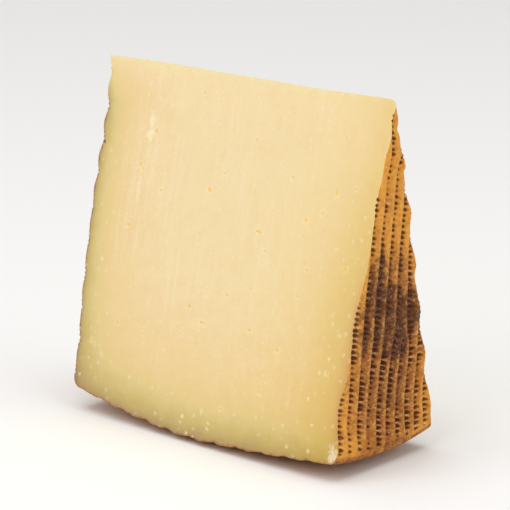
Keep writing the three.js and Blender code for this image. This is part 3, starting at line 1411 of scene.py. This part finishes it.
@dataclass(frozen=True)
class PasteFinish(CheeseFinish):
    """Cut paste of a semi-cured sheep's milk cheese: dense, slightly fatty, cut by a wide knife.

    The fat gives a soft sheen and lets light a few millimetres in. The paste dries from the rind inwards, so
    it goes from pale peach in the heart to yellow, and to khaki within a few millimetres of the rind. The
    knife smears pale streaks down the cut and opens small golden eyes, and salt crystals gather by the rind.
    """

    finish: Finish = Finish.PASTE
    roughness: float = 0.48
    ior: float = 1.46
    specular: float = 0.5
    subsurface: float = 0.22
    subsurface_radius_mm: Triple = (3.2, 1.9, 0.8)
    bump_strength: float = 0.35
    bump_mm: float = 0.12
    dry_stops: Stops = (
        (0.0, "#f1daa8"), (0.05, "#f0d6a3"), (0.12, "#eed29a"), (0.2, "#ecd095"), (0.3, "#e8cd8f"),
        (0.41, "#e3cb8a"), (0.5, "#dbc585"), (0.61, "#d3bb76"), (0.7, "#cbb370"), (0.78, "#c3ac6b"),
        (0.86, "#bba065"), (0.93, "#b79966"), (1.0, "#a5824f"),
    )
    right_stops: Stops = (
        (0.0, "#ffffff"), (0.1, "#fefcf2"), (0.25, "#fbf5e3"), (0.4, "#f7efcf"), (0.6, "#f2e8bd"),
        (0.8, "#ecdeaf"), (0.92, "#e6d0a4"), (1.0, "#d9bb98"),
    )
    streak: str = "#f8e4c0"
    # Pale cream of the salt crystals, also used for the painted highlight round the eyes.
    crystal: str = "#f4e6c4"
    eye_wall: str = "#ffd468"
    crust: str = "#8e5a2b"
    side_depth_mm: float = 10.0
    left_depth_mm: float = 8.5
    left_skin_depth_mm: float = 1.2
    right_depth_mm: float = 12.0
    side_spared: float = 0.35
    left_share: float = 0.72
    left_skin_share: float = 0.3
    patch_grain: Grain = Grain(4.348, 5.0, 0.6)
    patch_share: float = 0.26
    top_span: Span = Span(86.0, 98.0, 1.0, 0.0)
    low_span: Span = Span(85.0, 45.0, 0.4)
    streak_grain: Grain = Grain(1.7, 4.0, 0.6)
    streak_turn: Triple = (0.0, 0.03, 0.0)
    streak_squeeze: Triple = (1.0, 0.05, 0.07)
    streak_span: Span = Span(0.47, 0.72, last=0.6)
    broad_grain: Grain = Grain(22.22, 2.0)
    broad_span: Span = Span(0.42, 0.62)
    fleck_grain: Grain = Grain(0.9, 3.0, 0.6)
    fleck_span: Span = Span(0.58, 0.72, last=0.7)
    mottled_span: Span = Span(0.35, 0.6, 0.45)
    fresh_span: Span = Span(0.34, 0.08)
    jitter_grain: Grain = Grain(0.5556, 1.0)
    jitter_mm: Triple = (0.9, 0.9, 1.2)
    crystal_cell_mm: float = 2.4
    crystal_span: Span = Span(0.32, 0.1, last=0.72)
    crystal_few: Span = Span(0.4, 0.95)
    crystal_margin: Span = Span(0.14, 0.45)
    # Where a pale ring, a painted highlight, is laid round each eye's rim, in patches set by the fleck
    # noise.
    rim_span: Span = Span(0.06, 0.2)
    rim_torn: Span = Span(0.42, 0.56, last=0.4)
    eye_span: Span = Span(0.3, 0.75, last=0.75)
    tear_grain: Grain = Grain(1.111, 3.0)
    tear_ragged: float = 2.4
    tear_edge: Pair = (2.35, 1.7)
    tears: tuple[Tear, ...] = (
        Tear((48.3, -19.7, 7.4), (1.6, 5.0, 3.0), 0.85, "#ecd9b4"),
        Tear((-31.9, -3.6, 82.3), (1.0, 3.0, 2.8), 0.5, "#fff0d2"),
        Tear((-32.0, -4.4, 78.8), (1.7, 3.0, 1.6), 0.5, "#fff0d2"),
        Tear((-31.8, -5.3, 74.4), (1.4, 4.0, 4.4), 0.22, "#fff0d2"),
        Tear((-33.6, -7.7, 63.3), (0.8, 4.0, 6.5), 0.35, "#fff0d2"),
    )
    crust_ragged: float = -1.6
    crust_span: Span = Span(-0.25, -0.7, last=0.65)
    crust_below: Span = Span(89.0, 80.0)
    fine_grain: Grain = Grain(0.6667, 4.0)
    streak_relief: float = 0.6
    crystal_relief: float = 0.5

    def ground(self, add: Adder, place: Socket, height: Node, low_down: Node) -> tuple[Socket, Node]:
        """Colours the paste by how dry it is, which near each rind is e to the minus distance over depth.

        Args:
            add: Adds a node to the material.
            place: The socket of each point's place.
            height: The node of its height in millimetres.
            low_down: The node of how far down it lies, from the top to half way.

        Returns:
            The colour, and how dry the paste is at its driest rind.
        """
        dryness = []
        for measure, depth in (
            ("to_side", self.side_depth_mm), ("to_left", self.left_depth_mm),
            ("to_left", self.left_skin_depth_mm), ("to_right", self.right_depth_mm),
        ):
            distance = add("Attribute", attribute_name=measure).outputs["Fac"]
            scaled = add("Math", (distance, -1 / depth), operation="MULTIPLY")
            dryness.append(add("Math", (scaled,), operation="EXPONENT"))
        side, left, left_skin, right = dryness
        right = add("Math", (right, low_down), operation="MULTIPLY")
        spared = add("Math", (right, -self.side_spared, 1.0), operation="MULTIPLY_ADD")
        side = add("Math", (side, spared), operation="MULTIPLY")
        left = add("Math", (left, self.left_share), operation="MULTIPLY")
        left = add("Math", (left_skin, self.left_skin_share, left), operation="MULTIPLY_ADD")
        near_top = add("MapRange", (height, *self.top_span))
        left = add("Math", (left, near_top), operation="MULTIPLY")
        wet_side = add("Math", (1.0, side), operation="SUBTRACT")
        wet_left = add("Math", (1.0, left), operation="SUBTRACT")
        wet = add("Math", (wet_side, wet_left), operation="MULTIPLY")
        dry = add("Math", (1.0, wet), operation="SUBTRACT")
        patch = add("Math", (add("TexNoise", self.patch_grain.at(place)), 0.5), operation="SUBTRACT")
        dry = add("Math", (patch, self.patch_share, dry), operation="MULTIPLY_ADD")
        olive = add("ValToRGB", (dry,), self.dry_stops)
        gold = add("ValToRGB", (right,), self.right_stops)
        both = add("Mix", {0: 1.0, 6: olive, 7: gold}, data_type="RGBA", blend_type="MULTIPLY")
        return both.outputs[2], add("Math", (dry, right), operation="MAXIMUM")

    def crystals(self, add: Adder, place: Socket, edge: Node, low_down: Node) -> Node:
        """Scatters salt crystals along the rind: a spot in some cells of a jittered pattern.

        Args:
            add: Adds a node to the material.
            place: The socket of each point's place.
            edge: The node of how dry the paste is.
            low_down: The node of how far down a point lies.

        Returns:
            The node of how much of a crystal lies at each point.
        """
        jitter = add("TexNoise", self.jitter_grain.at(place)).outputs["Color"]
        most = tuple(METRES_PER_MM * part for part in self.jitter_mm)
        uneven = add("VectorMath", (jitter, most, place), operation="MULTIPLY_ADD")
        scale = 1 / (self.crystal_cell_mm * METRES_PER_MM)
        cells = add("TexVoronoi", {"Vector": uneven, "Scale": scale})
        share = add("MapRange", (cells, *self.crystal_span))
        draw = add("SeparateXYZ", (cells.outputs["Color"],))
        few = add("MapRange", (draw, *self.crystal_few))
        margin = add("MapRange", (edge, *self.crystal_margin))
        for factor in (few, margin, low_down):
            share = add("Math", (share, factor), operation="MULTIPLY")
        return share

    def torn(self, add: Adder, place: Socket, height: Node) -> list[tuple[Node, str]]:
        """Draws the torn places and the thin brown line of crust on the cut's side and left edges.

        A tear is an oval, its distance from the middle in half sizes, with an edge pulled by noise.

        Args:
            add: Adds a node to the material.
            place: The socket of each point's place.
            height: The node of its height in millimetres.

        Returns:
            For each layer of colour, the node of its share and its hex colour.
        """
        layers = []
        grain = add("TexNoise", self.tear_grain.at(place))
        for tear in self.tears:
            middle = tuple(-METRES_PER_MM * part for part in tear.middle_mm)
            scale = tuple(1 / (METRES_PER_MM * half) for half in tear.half_mm)
            from_tear = add("VectorMath", (place, middle), operation="ADD")
            stretched = add("Mapping", {0: from_tear, "Scale": scale})
            far = add("VectorMath", (stretched,), operation="LENGTH").outputs["Value"]
            far = add("Math", (grain, self.tear_ragged, far), operation="MULTIPLY_ADD")
            layers.append((add("MapRange", (far, *Span(*self.tear_edge, last=tear.strength))), tear.colour))
        side = add("Attribute", attribute_name="to_side").outputs["Fac"]
        left = add("Attribute", attribute_name="to_left").outputs["Fac"]
        line = add("Math", (side, left), operation="MINIMUM")
        line = add("Math", (grain, self.crust_ragged, line), operation="MULTIPLY_ADD")
        crust = add("MapRange", (line, *self.crust_span))
        below = add("MapRange", (height, *self.crust_below))
        return [*layers, (add("Math", (crust, below), operation="MULTIPLY"), self.crust)]

    def paint(self, add: Adder, place: Socket) -> tuple[Socket | Node, list[tuple[Node, str]], Node]:
        """Lays streaks, flecks, crystals, a painted highlight round the eyes, the eyes, tears and the crust
        over the dried ground.

        Args:
            add: Adds a node to the material.
            place: The socket of each point's place, in metres.

        Returns:
            The ground colour, the layers over it, and the height: streaks and crystals over a fine grain.
        """
        metres = add("SeparateXYZ", (place,)).outputs["Z"]
        height = add("Math", (metres, 1 / METRES_PER_MM), operation="MULTIPLY")
        low_down = add("MapRange", (height, *self.low_span))
        colour, edge = self.ground(add, place, height, low_down)
        grooved = add("Mapping", {0: place, "Rotation": self.streak_turn, "Scale": self.streak_squeeze})
        streaks = add("TexNoise", self.streak_grain.at(grooved))
        broad = add("TexNoise", self.broad_grain.at(place))
        fleck = add("TexNoise", self.fleck_grain.at(place))
        eye = add("Attribute", attribute_name="eye").outputs["Fac"]
        pale, shown, mottled, fresh, flecks, wall, rim, rim_torn = (
            add("MapRange", (value, *span))
            for value, span in (
                (streaks, self.streak_span), (broad, self.broad_span), (fleck, self.mottled_span),
                (edge, self.fresh_span), (fleck, self.fleck_span), (eye, self.eye_span),
                (eye, self.rim_span), (fleck, self.rim_torn),
            )
        )
        for factor in (shown, mottled, fresh):
            pale = add("Math", (pale, factor), operation="MULTIPLY")
        flecks = add("Math", (flecks, fresh), operation="MULTIPLY")
        # Painted highlight round the eyes' rims, in patches.
        rim = add("Math", (rim, rim_torn), operation="MULTIPLY")
        crystals = self.crystals(add, place, edge, low_down)
        relief = add("TexNoise", self.fine_grain.at(place))
        for part, most in ((streaks, self.streak_relief), (crystals, self.crystal_relief)):
            relief = add("Math", (part, most, relief), operation="MULTIPLY_ADD")
        layers = [
            # The rim layer is a painted highlight round the eyes, in the crystals' colour.
            (pale, self.streak), (flecks, self.streak), (crystals, self.crystal), (rim, self.crystal),
            (wall, self.eye_wall), *self.torn(add, place, height),
        ]
        return colour, layers, relief


@dataclass(frozen=True)
class RindFinish(CheeseFinish):
    """Pressed natural rind, rubbed with oil: dry, tough and golden brown, with dark grime in its dents.

    Rib crests and the ridges between dents get a painted highlight, grooves stay darker, dents hold brown
    mould and oil, and a damp patch has stained the lower half of one face purple brown.
    """

    finish: Finish = Finish.RIND
    roughness: float = 0.55
    ior: float = 1.45
    specular: float = 0.12
    subsurface: float = 0.08
    subsurface_radius_mm: Triple = (1.6, 0.8, 0.3)
    bump_strength: float = 0.8
    bump_mm: float = 0.3
    ground_stops: Stops = ((0.0, "#eca441"), (0.6, "#bf7a36"), (1.0, "#a96c35"))
    # Gold of the painted highlight on the rib crests; the pale freckles, the rind's own lighter spots, reuse
    # it.
    crest: str = "#ebb162"
    groove: str = "#93562a"
    rust: str = "#84461f"
    dent: str = "#4f2513"
    # Cream of the painted highlight on the ridges between dents.
    dent_edge: str = "#eebf7c"
    stain: str = "#502d1e"
    speck: str = "#b08c78"
    mottle_grain: Grain = Grain(5.263, 5.0, 0.6)
    mottle_middle: float = 0.45
    mottle_share: float = 1.4
    rust_grain: Grain = Grain(4.5, 5.0, 0.65, 0.6)
    rust_aged: float = 0.12
    rust_span: Span = Span(0.58, 0.76, last=0.6)
    fibre_grain: Grain = Grain(0.5, 3.0, 0.6)
    fibre_stretch: Triple = (1.0, 3.0, 1.0)
    fibre_turn: Triple = (-0.35, 0.0, 0.0)
    crest_span: Span = Span(0.36, 0.62, last=0.6)
    groove_span: Span = Span(0.34, 0.0, last=0.55)
    grubby_aged: float = 0.75
    grubby_least: float = 0.42
    freckle_grain: Grain = Grain(1.1, 4.0, 0.7)
    pale_span: Span = Span(0.52, 0.72, last=0.65)
    brown_span: Span = Span(0.5, 0.3, last=0.6)
    thread_span: Span = Span(0.54, 0.32, last=0.55)
    bright_span: Span = Span(0.3, 0.62, last=0.85)
    dent_ragged: float = 0.22
    dent_span: Span = Span(0.43, 0.6, last=0.96)
    dent_aged: float = 0.15
    dent_least: float = 0.87
    stain_grain: Grain = Grain(1.6, 3.0, 0.65)
    stain_ragged: float = 2.2
    stain_rib: float = -0.42
    stain_span: Span = Span(0.12, 0.62, last=0.82)
    stain_edge: Span = Span(0.02, 0.25)
    speck_grain: Grain = Grain(0.7, 1.0)
    speck_span: Span = Span(0.6, 0.72, last=0.6)
    speck_dent: float = 0.5

    def paint(self, add: Adder, place: Socket) -> tuple[Socket | Node, list[tuple[Node, str]], Node]:
        """Lays rust, a painted highlight on the crests, grooves, freckles, threads, a painted highlight on
        the ridges, dents, stain and specks over the ground.

        The ground goes from gold, where the rind is young, to brown, where it is old, with a mottle.

        Args:
            add: Adds a node to the material.
            place: The socket of each point's place, in metres.

        Returns:
            The ground colour, the layers over it, and the height, which is that of the fibres.
        """
        dent, rib, ridge, aged, stain = (
            add("Attribute", attribute_name=name).outputs["Fac"]
            for name in ("dent", "rib", "ridge", "aged", "stain")
        )
        mottle, rust, freckle, blotch, flake = (
            add("TexNoise", grain.at(place))
            for grain in (
                self.mottle_grain, self.rust_grain, self.freckle_grain, self.stain_grain, self.speck_grain,
            )
        )
        along = {0: place, "Rotation": self.fibre_turn, "Scale": self.fibre_stretch}
        fibre = add("TexNoise", self.fibre_grain.at(add("Mapping", along, vector_type="TEXTURE")))
        mottle = add("Math", (mottle, self.mottle_middle), operation="SUBTRACT")
        age = add("Math", (mottle, self.mottle_share, aged), operation="MULTIPLY_ADD")
        grubby = (aged, self.grubby_aged, self.grubby_least)
        grubby = add("Math", grubby, operation="MULTIPLY_ADD", use_clamp=True)
        filled = add("Math", (aged, self.dent_aged, self.dent_least), operation="MULTIPLY_ADD")
        rust = add("Math", (aged, self.rust_aged, rust), operation="MULTIPLY_ADD")
        # Where the painted highlight on the rib crests lies, broken up by the fibre noise.
        crest = add("Math", (rib, fibre), operation="MULTIPLY")
        # Where the painted highlight on the ridges between dents lies, broken up by the fibre noise.
        bright = add("Math", (ridge, fibre), operation="MULTIPLY")
        ragged = add("Math", (fibre, 0.5), operation="SUBTRACT")
        dent = add("Math", (ragged, self.dent_ragged, dent), operation="MULTIPLY_ADD")
        uneven = add("Math", (blotch, 0.5), operation="SUBTRACT")
        damp = add("Math", (uneven, self.stain_ragged, stain), operation="MULTIPLY_ADD")
        damp = add("Math", (rib, self.stain_rib, damp), operation="MULTIPLY_ADD")
        in_stain = add("MapRange", (stain, *self.stain_edge))
        layers = []
        for value, span, factor, code in (
            (rust, self.rust_span, 1.0, self.rust),
            # painted highlight on the rib crests
            (crest, self.crest_span, 1.0, self.crest),
            (rib, self.groove_span, grubby, self.groove),
            (freckle, self.pale_span, 1.0, self.crest),
            (freckle, self.brown_span, grubby, self.rust),
            (fibre, self.thread_span, grubby, self.groove),
            # painted highlight on the ridges between dents
            (bright, self.bright_span, 1.0, self.dent_edge),
            (dent, self.dent_span, filled, self.dent),
            (damp, self.stain_span, in_stain, self.stain),
        ):
            share = add("MapRange", (value, *span))
            layers.append((add("Math", (share, factor), operation="MULTIPLY"), code))
        (hole, _), (damp, _) = layers[-2:]
        dirty = add("Math", (hole, self.speck_dent, damp), operation="MULTIPLY_ADD")
        flake = add("MapRange", (flake, *self.speck_span))
        layers.append((add("Math", (flake, dirty), operation="MULTIPLY"), self.speck))
        return add("ValToRGB", (age,), self.ground_stops), layers, fibre


@dataclass
class CheeseWedge:
    """The wedge: its skin, its mesh and its two finishes."""

    wheel: Wheel
    rind_finish: RindFinish = field(default_factory=RindFinish)
    paste_finish: PasteFinish = field(default_factory=PasteFinish)
    name: str = "manchego_wedge"
    right_line: tuple[float, ...] = (-8.26, 32.96, -143.76, 201.37, -93.58)
    left_line: tuple[float, ...] = (1.75, 19.05)
    front_eyes: tuple[Eye, ...] = (
        Eye(-29.9, 18.8, 0.5, 0.95),
        Eye(-34.2, 28.6, 0.55, 0.65),
        Eye(-7.3, 31.6, 0.75, 0.65),
        Eye(-35.6, 45.6, 0.5, 0.65),
        Eye(-2.2, 3.6, 0.35, 0.85),
        Eye(12.2, 40.0, 0.95, 0.45),
        Eye(21.5, 24.2, 0.45, 0.4),
        Eye(36.9, 25.9, 0.45, 0.9),
        Eye(33.4, 31.9, 0.5, 0.45),
        Eye(27.8, 34.6, 0.6, 0.45),
        Eye(-8.5, 63.8, 0.5, 0.5),
        Eye(-3.3, 67.3, 0.8, 0.35),
        Eye(14.1, 66.2, 0.65, 0.45),
        Eye(20.3, 81.7, 0.45, 0.45),
        Eye(43.4, 44.9, 0.6, 0.65),
        Eye(24.7, 69.6, 0.6, 0.6),
        Eye(28.8, 54.5, 0.45, 0.4),
        Eye(-42.8, 79.7, 0.8, 0.55),
    )

    def skin(self) -> Skin:
        """Builds the closed skin: the rind rows first, then the two cuts inside their outlines.

        Returns:
            The skin.
        """
        right_rows = PressedRows(
            self.wheel, Face.RIGHT, self.right_line, rib_height=0.8, worn_share=1.0, seed=11, stretched=True,
        )
        left_rows = PressedRows(
            self.wheel, Face.LEFT, self.left_line, rib_height=0.85, worn_share=0.35, seed=23,
        )
        right = RightFace(right_rows, step=0.21)
        rows = RindRows(self.wheel, right, LeftFace(left_rows, step=0.33), PlaitedSide())
        rows.build()
        KnifeCut(
            Cut.FRONT, rows, seed=31, random_eyes=40, random_half=(0.2, 0.36), named_eyes=self.front_eyes,
        ).build()
        KnifeCut(Cut.BACK, rows, seed=47, random_eyes=42, random_half=(0.14, 0.6)).build()
        return rows.skin

    def build(self) -> bpy.types.Object:
        """Turns the skin into one mesh object with its measures as point attributes.

        Returns:
            The wedge.
        """
        skin = self.skin()
        points = skin.place() * METRES_PER_MM
        triangles = np.concatenate(skin.triangles)
        zones = np.concatenate(skin.zones)
        mesh = bpy.data.meshes.new(self.name)
        mesh.vertices.add(len(points))
        mesh.loops.add(3 * len(triangles))
        mesh.polygons.add(len(triangles))
        mesh.vertices.foreach_set("co", points.astype(np.float32).ravel())
        mesh.loops.foreach_set("vertex_index", triangles.astype(np.int32).ravel())
        mesh.polygons.foreach_set("loop_start", np.arange(0, 3 * len(triangles), 3, dtype=np.int32))
        mesh.polygons.foreach_set("material_index", (zones != int(Zone.RIND)).astype(np.int32))
        mesh.polygons.foreach_set("use_smooth", np.ones(len(triangles), dtype=bool))
        mesh.update(calc_edges=True)
        for name in MEASURES:
            layer = mesh.attributes.new(name, "FLOAT", "POINT")
            layer.data.foreach_set("value", np.concatenate(skin.measures[name]).astype(np.float32))
        self.sharpen(mesh, zones)
        mesh.validate()
        log.info("%s: %d points, %d triangles", self.name, len(points), len(triangles))
        return add_object(self.name, mesh)

    def sharpen(self, mesh: bpy.types.Mesh, zones: Array) -> None:
        """Marks the edges between two zones as sharp, so that each cut keeps its own flat shading.

        Args:
            mesh: The mesh.
            zones: The zone of each of its triangles.
        """
        edge_of_loop = np.zeros(len(mesh.loops), dtype=np.int32)
        mesh.loops.foreach_get("edge_index", edge_of_loop)
        zone_of_loop = np.repeat(zones, 3)
        lowest = np.full(len(mesh.edges), len(Zone))
        highest = np.zeros(len(mesh.edges), dtype=int)
        np.minimum.at(lowest, edge_of_loop, zone_of_loop)
        np.maximum.at(highest, edge_of_loop, zone_of_loop)
        layer = mesh.attributes.new("sharp_edge", "BOOLEAN", "EDGE")
        layer.data.foreach_set("value", lowest != highest)

    def dress(self, wedge: bpy.types.Object) -> None:
        """Gives the wedge its two finishes, in the order of its zones.

        Args:
            wedge: The wedge.
        """
        for finish in (self.rind_finish, self.paste_finish):
            wedge.data.materials.append(finish.build())
        log.info("%s: dressed in %s and %s", self.name, Finish.RIND.value, Finish.PASTE.value)


@dataclass(frozen=True)
class SoftLight:
    """A soft square light that faces the wedge.

    Its azimuth is the angle round the wedge from the front cut and its elevation the one above the floor,
    in degrees. Its distance away and the length of its side are in metres, and its power is in watts.
    """

    name: str
    azimuth: float
    elevation: float
    away: float
    power: float
    size: float


@dataclass
class Studio:
    """A plain pale floor, soft light and the camera at the photograph's angle."""

    floor_colour: str = "#f4f3f1"
    floor_half: float = 6.0
    floor_roughness: float = 0.9
    floor_specular: float = 0.1
    world_colour: str = "#ffffff"
    world_strength: float = 0.45
    lights: tuple[SoftLight, ...] = (
        SoftLight("key_light", azimuth=-5.0, elevation=45.0, away=1.0, power=3.8, size=0.9),
        SoftLight("fill_light", azimuth=95.0, elevation=28.0, away=1.0, power=1.8, size=0.8),
        SoftLight("top_light", azimuth=0.0, elevation=88.0, away=4.0, power=78.0, size=4.0),
    )
    azimuth: float = 42.6
    elevation: float = 14.0
    distance_mm: float = 675.45
    focal_pixels: float = 2500.0
    image_pixels: float = 510.0
    sensor_mm: float = 36.0
    clip_start: float = 0.05
    clip_end: float = 20.0
    target_mm: Triple = (3.075, 0.0, 49.455)

    def floor(self) -> bpy.types.Object:
        """Adds the floor: one large square at the height that the wedge stands on.

        Returns:
            The floor.
        """
        half = self.floor_half
        mesh = bpy.data.meshes.new("studio_floor")
        corners = [(-half, -half, 0), (half, -half, 0), (half, half, 0), (-half, half, 0)]
        mesh.from_pydata(corners, [], [(0, 1, 2, 3)])
        material, add = new_material("studio_paper_white")
        shader = add("BsdfPrincipled", {
            "Base Color": linear(self.floor_colour), "Roughness": self.floor_roughness,
            "Specular IOR Level": self.floor_specular,
        })
        add("OutputMaterial", (shader,))
        mesh.materials.append(material)
        log.info("studio_floor: %.0f m across", 2 * half)
        return add_object("studio_floor", mesh)

    def world(self) -> None:
        """Sets an even white world, which fills the shadows."""
        world = bpy.data.worlds.new("studio_world")
        world.use_nodes = True
        world.node_tree.nodes.clear()
        shine = (linear(self.world_colour), self.world_strength)
        light = add_node(world.node_tree, "Background", shine)
        add_node(world.node_tree, "OutputWorld", (light,))
        bpy.context.scene.world = world

    def add_aimed(self, name: str, data: bpy.types.ID, towards: Pair, away: float) -> bpy.types.Object:
        """Adds a light or a camera that faces the wedge, upright.

        Args:
            name: Its name.
            data: The light's or the camera's own data.
            towards: Its azimuth from the front and its elevation, both in degrees.
            away: Its distance from the wedge, in metres.

        Returns:
            The light's or the camera's object.
        """
        turn, lift = (math.radians(angle) for angle in towards)
        out = Vector((math.sin(turn) * math.cos(lift), -math.cos(turn) * math.cos(lift), math.sin(lift)))
        thing = add_object(name, data)
        thing.location = Vector(self.target_mm) * METRES_PER_MM + out * away
        thing.rotation_euler = (-out).to_track_quat("-Z", "Y").to_euler()
        return thing

    def add_light(self, light: SoftLight) -> None:
        """Adds one soft light.

        Args:
            light: The light.
        """
        data = bpy.data.lights.new(light.name, "AREA")
        data.energy = light.power
        data.size = light.size
        self.add_aimed(light.name, data, (light.azimuth, light.elevation), light.away)
        log.info("%s: %.1f W, %.2f m across", light.name, light.power, light.size)

    def camera(self) -> None:
        """Adds the camera that the photograph was fitted to and makes it the scene's."""
        data = bpy.data.cameras.new("photo_camera")
        data.sensor_width = self.sensor_mm
        data.lens = self.focal_pixels / self.image_pixels * self.sensor_mm
        data.clip_start = self.clip_start
        data.clip_end = self.clip_end
        towards = (self.azimuth, self.elevation)
        distance = self.distance_mm * METRES_PER_MM
        bpy.context.scene.camera = self.add_aimed("photo_camera", data, towards, distance)
        log.info("photo_camera: %.0f mm lens, %.0f mm away", data.lens, self.distance_mm)

    def build(self) -> bpy.types.Object:
        """Builds the whole studio.

        Returns:
            The floor.
        """
        self.world()
        for light in self.lights:
            self.add_light(light)
        self.camera()
        bpy.context.scene.view_settings.view_transform = "Standard"
        return self.floor()


def main() -> None:
    """Builds the wedge, as tall as the imported part, and its studio, in order."""
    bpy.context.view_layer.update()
    low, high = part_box(NODE)
    cheese = CheeseWedge(wheel=Wheel(axis_height=(high.z - low.z) / METRES_PER_MM))
    wedge = cheese.build()
    cheese.dress(wedge)
    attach(wedge, BODY)
    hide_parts(NODE)
    Studio().build()


if __name__ == "__main__":
    logging.basicConfig(level=logging.INFO, format="%(name)s: %(message)s")
    main()
